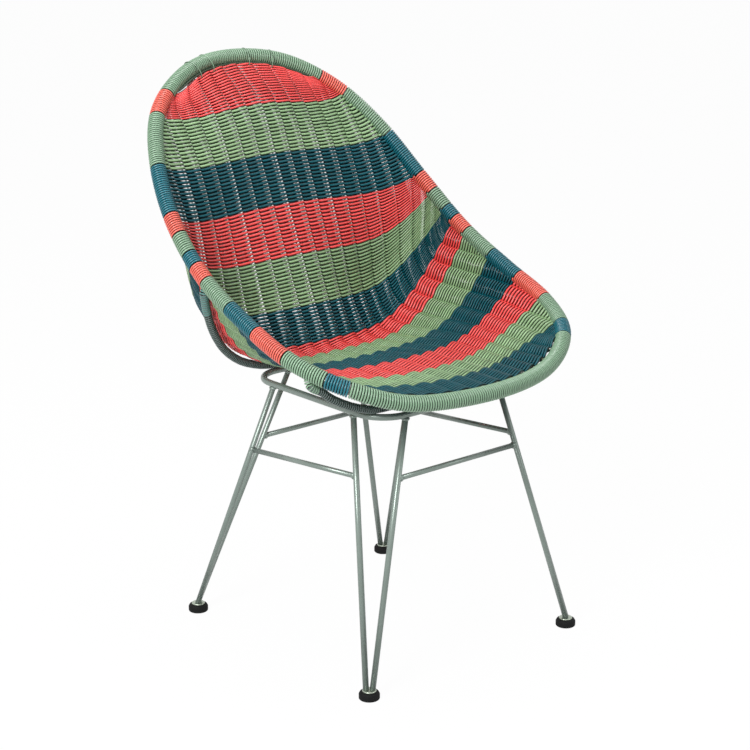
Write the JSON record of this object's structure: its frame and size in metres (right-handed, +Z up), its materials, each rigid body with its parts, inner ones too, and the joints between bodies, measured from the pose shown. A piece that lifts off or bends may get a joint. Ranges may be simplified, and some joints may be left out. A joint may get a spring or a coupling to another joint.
{
  "type": "rattan bistro chair",
  "caption": "Bucket chair with a woven seat in colour bands inside a wrapped steel rim, carried by two wrapped hoops on a ring base with hairpin rod legs and rubber feet.",
  "frame": {"origin": "bottom centre of the bounding box, on the floor under the seat", "axes": "+Z up, -Y towards the sitter's feet, +X to the sitter's left"},
  "size_m": [0.5466, 0.6376, 0.8617],
  "materials": {
    "coral_strand": "semi-matt round woven strand",
    "sage_strand": "semi-matt round woven strand",
    "rim_sage_strand": "semi-matt strand wound tightly round the rim",
    "teal_strand": "semi-matt round woven strand",
    "hoop_strand": "semi-matt strand wound tightly round the hoops",
    "core_steel": "bare bent rod and tube, hidden",
    "frame_paint": "satin grey-green paint on rod",
    "foot_disc": "bright metal washer",
    "foot_rubber": "matt black rubber"
  },
  "bodies": {
    "root": {"rim_core": "core_steel", "rim_wrap_back": "rim_sage_strand", "rim_wrap_front": "rim_sage_strand", "weave_band_01_coral": "coral_strand", "weave_band_02_sage": "sage_strand", "weave_band_03_teal": "teal_strand", "weave_band_04_coral": "coral_strand", "weave_band_05_sage": "sage_strand", "weave_band_06_teal": "teal_strand", "weave_band_07_coral": "coral_strand", "weave_band_08_sage": "sage_strand", "weave_band_09_teal": "teal_strand", "weave_band_10_coral": "coral_strand", "weave_band_11_sage": "sage_strand", "weave_band_12_teal": "teal_strand", "top_edge_strand": "sage_strand", "stake_right_outer": "core_steel", "stake_right_inner": "core_steel", "stake_middle": "core_steel", "stake_left_inner": "core_steel", "stake_left_outer": "core_steel", "rear_hoop_core": "core_steel", "rear_hoop_wrap": "hoop_strand", "front_hoop_core": "core_steel", "front_hoop_wrap": "hoop_strand", "base_ring": "frame_paint", "front_left_leg_side_rod": "frame_paint", "front_left_leg_front_rod": "frame_paint", "rear_left_leg_side_rod": "frame_paint", "rear_left_leg_rear_rod": "frame_paint", "front_right_leg_side_rod": "frame_paint", "front_right_leg_front_rod": "frame_paint", "rear_right_leg_side_rod": "frame_paint", "rear_right_leg_rear_rod": "frame_paint", "front_stretcher": "frame_paint", "rear_stretcher": "frame_paint", "left_stretcher": "frame_paint", "right_stretcher": "frame_paint", "front_left_foot_pad": "foot_rubber", "front_left_foot_disc": "foot_disc", "rear_left_foot_pad": "foot_rubber", "rear_left_foot_disc": "foot_disc", "front_right_foot_pad": "foot_rubber", "front_right_foot_disc": "foot_disc", "rear_right_foot_pad": "foot_rubber", "rear_right_foot_disc": "foot_disc"}
  },
  "joints": []
}
